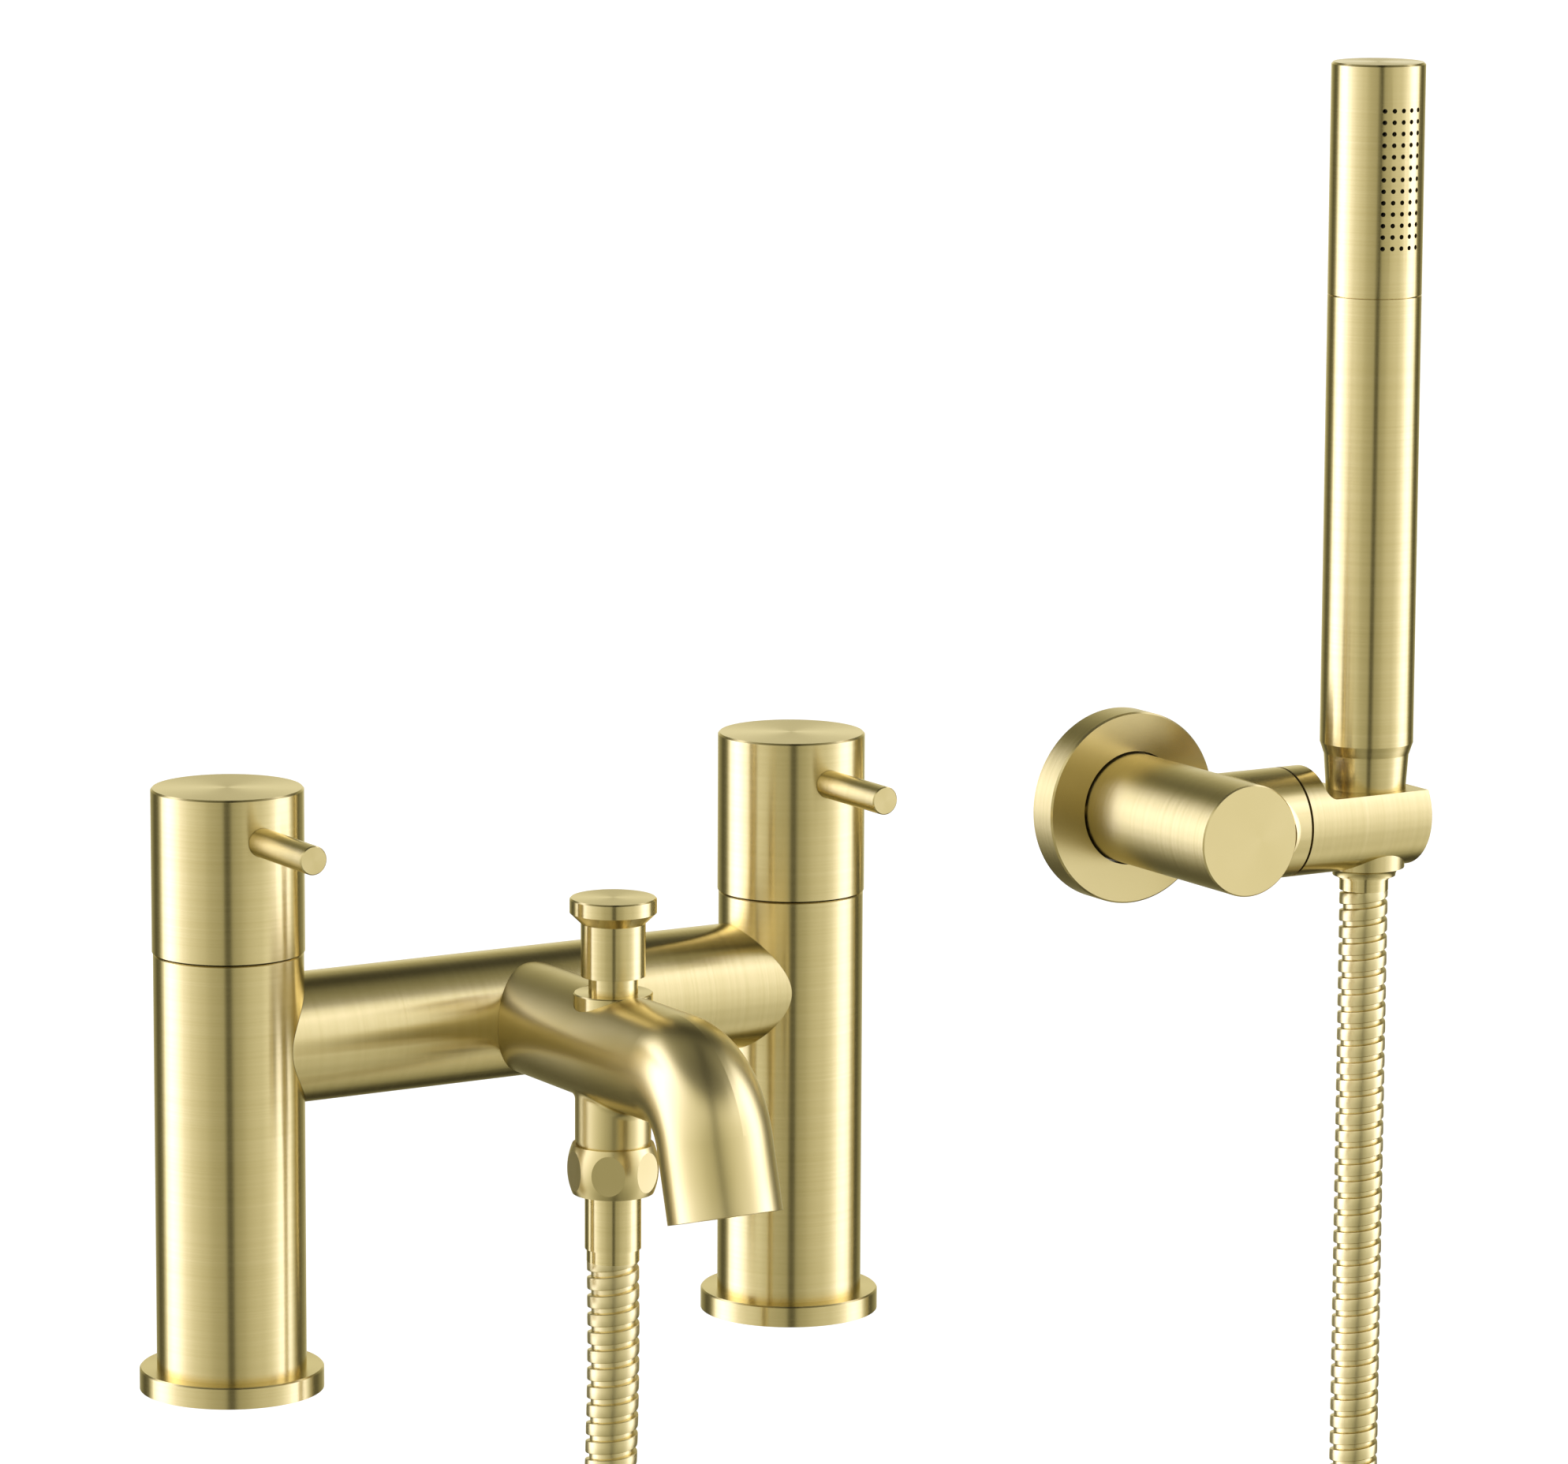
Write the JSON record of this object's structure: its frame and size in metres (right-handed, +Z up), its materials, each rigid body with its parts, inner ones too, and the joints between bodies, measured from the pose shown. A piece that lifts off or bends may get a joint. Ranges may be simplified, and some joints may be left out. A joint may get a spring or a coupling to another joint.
{
  "type": "bath shower mixer",
  "caption": "Bridge bath and shower mixer with lever-pin handles, pull-up diverter, bent spout, spiral hose, wall bracket and slim straight handset.",
  "frame": {"origin": "on the deck surface, midway between the centres of the hot and cold inlets", "axes": "+X from the hot side to the cold side, -Y towards the bather (the way the spout points), +Z up"},
  "size_m": [0.4129, 0.3132, 0.7536],
  "materials": {
    "brushed_brass": "satin brushed brass, fine brush lines round each part",
    "polished_brass": "polished brass",
    "raw_brass": "machined brass, out of sight",
    "rubber": "matt black rubber",
    "spray_rubber": "soft dark spray liner",
    "ceramic": "lapped white ceramic",
    "plastic": "moulded plastic",
    "steel": "stainless steel",
    "hose": "brass-coloured spiral hose"
  },
  "bodies": {
    "mixer": {"hot_base_flange": "brushed_brass", "hot_base_seal": "rubber", "hot_pillar": "brushed_brass", "hot_valve_body": "raw_brass", "hot_valve_seal": "rubber", "hot_fixed_disc": "ceramic", "cold_base_flange": "brushed_brass", "cold_base_seal": "rubber", "cold_pillar": "brushed_brass", "cold_valve_body": "raw_brass", "cold_valve_seal": "rubber", "cold_fixed_disc": "ceramic", "crossbar": "brushed_brass", "bridge_nipples": "raw_brass", "spout": "brushed_brass", "aerator_housing": "brushed_brass", "aerator_insert": "plastic", "diverter_collar": "polished_brass", "diverter_seat": "raw_brass", "diverter_oring": "rubber", "check_valve": "plastic", "hose_nut": "polished_brass", "hose_washer": "rubber", "mixer_ferrule": "polished_brass", "hose": "hose", "wall_flange": "brushed_brass", "wall_plate": "steel", "bracket_arm": "brushed_brass", "post_screw": "steel", "swivel_washer": "plastic"},
    "hot_control": {"hot_moving_disc": "ceramic", "hot_spindle": "raw_brass", "hot_spindle_oring": "rubber", "hot_handle": "brushed_brass", "hot_lever": "brushed_brass", "hot_handle_screw": "steel"},
    "cold_control": {"cold_moving_disc": "ceramic", "cold_spindle": "raw_brass", "cold_spindle_oring": "rubber", "cold_handle": "brushed_brass", "cold_lever": "brushed_brass", "cold_handle_screw": "steel"},
    "diverter": {"diverter_stem": "polished_brass", "diverter_washer": "rubber", "diverter_nut": "raw_brass", "diverter_knob": "brushed_brass"},
    "holder": {"holder": "brushed_brass", "swivel_bolt": "steel"},
    "hose_end": {"handset_ferrule": "polished_brass", "handset_washer": "rubber"},
    "handset": {"cone_nut": "polished_brass", "handset_inlet": "raw_brass", "flow_restrictor": "plastic", "inner_tube": "plastic", "handset_tube": "brushed_brass", "handset_head": "brushed_brass", "spray_liner": "spray_rubber"}
  },
  "joints": [
    {"name": "hot_turn", "type": "hinge", "parent": "mixer", "child": "hot_control", "pos_m": [-0.09, 0, 0.12], "axis": [0, 0, 1], "range_deg": [-90, 0]},
    {"name": "cold_turn", "type": "hinge", "parent": "mixer", "child": "cold_control", "pos_m": [0.09, 0, 0.12], "axis": [0, 0, 1], "range_deg": [0, 90]},
    {"name": "diverter_pull", "type": "slide", "parent": "mixer", "child": "diverter", "axis": [0, 0, 1], "range_m": [0, 0.0074]},
    {"name": "holder_tilt", "type": "hinge", "parent": "mixer", "child": "holder", "pos_m": [0.2535, -0.011, 0.129], "axis": [1, 0, 0], "range_deg": [-5, 35]},
    {"name": "handset_lift", "type": "slide", "parent": "holder", "child": "hose_end", "axis": [0, 0, 1], "range_m": [0, 0.03]},
    {"name": "handset_spin", "type": "hinge", "parent": "hose_end", "child": "handset", "pos_m": [0.2835, -0.011, 0.15], "axis": [0, 0, 1], "continuous": true}
  ]
}
